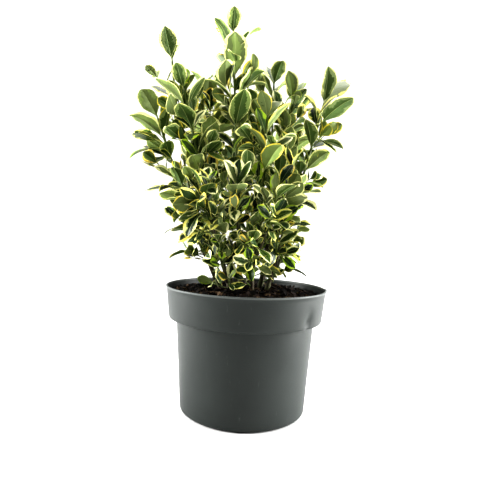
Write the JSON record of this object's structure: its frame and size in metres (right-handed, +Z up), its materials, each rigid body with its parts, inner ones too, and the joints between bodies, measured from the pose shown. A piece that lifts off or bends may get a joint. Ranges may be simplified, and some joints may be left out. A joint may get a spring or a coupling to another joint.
{
  "type": "potted japanese spindle",
  "caption": "Bushy variegated evergreen shrub: upright leafy shoots on several stems, growing from compost in a round nursery pot with a stepped collar.",
  "frame": {"origin": "middle of the pot's flat underside", "axes": "+Z up along the pot's axis, -Y towards the side the picture was taken from, +X to the right in it"},
  "size_m": [0.3101, 0.2438, 0.5406],
  "materials": {
    "pot_plastic": "satin dark grey moulded plastic",
    "compost": "dark brown fibrous peat and bark compost",
    "stem_bark": "matt green-brown young bark",
    "foliage": "leathery leaves, green with a pale yellow margin"
  },
  "bodies": {
    "root": {"pot": "pot_plastic", "soil": "compost", "stem_leader": "stem_bark", "stem_left": "stem_bark", "stem_front_left": "stem_bark", "stem_front_right": "stem_bark", "stem_right": "stem_bark", "stem_middle_right": "stem_bark", "stem_back_left": "stem_bark", "stem_back": "stem_bark", "stem_back_right": "stem_bark", "bough_top_left": "stem_bark", "bough_mid_left": "stem_bark", "bough_low_left": "stem_bark", "bough_mid_front_left": "stem_bark", "bough_low_front_left": "stem_bark", "bough_mid_front": "stem_bark", "bough_mid_front_right": "stem_bark", "bough_low_front": "stem_bark", "bough_top_middle": "stem_bark", "bough_mid_right": "stem_bark", "bough_low_front_right": "stem_bark", "bough_low_right": "stem_bark", "bough_mid_back_left": "stem_bark", "bough_low_back_left": "stem_bark", "bough_mid_back": "stem_bark", "bough_low_back": "stem_bark", "bough_low_back_right": "stem_bark", "bough_mid_back_right": "stem_bark", "shoot_leader": "foliage", "shoot_left": "foliage", "shoot_front_left": "foliage", "shoot_front_right": "foliage", "shoot_right": "foliage", "shoot_middle_right": "foliage", "shoot_back_left": "foliage", "shoot_back": "foliage", "shoot_back_right": "foliage", "shoot_top_left": "foliage", "shoot_mid_left": "foliage", "shoot_low_left": "foliage", "shoot_mid_front_left": "foliage", "shoot_low_front_left": "foliage", "shoot_mid_front": "foliage", "shoot_mid_front_right": "foliage", "shoot_low_front": "foliage", "shoot_top_middle": "foliage", "shoot_mid_right": "foliage", "shoot_low_front_right": "foliage", "shoot_low_right": "foliage", "shoot_mid_back_left": "foliage", "shoot_low_back_left": "foliage", "shoot_mid_back": "foliage", "shoot_low_back": "foliage", "shoot_low_back_right": "foliage", "shoot_mid_back_right": "foliage"}
  },
  "joints": []
}
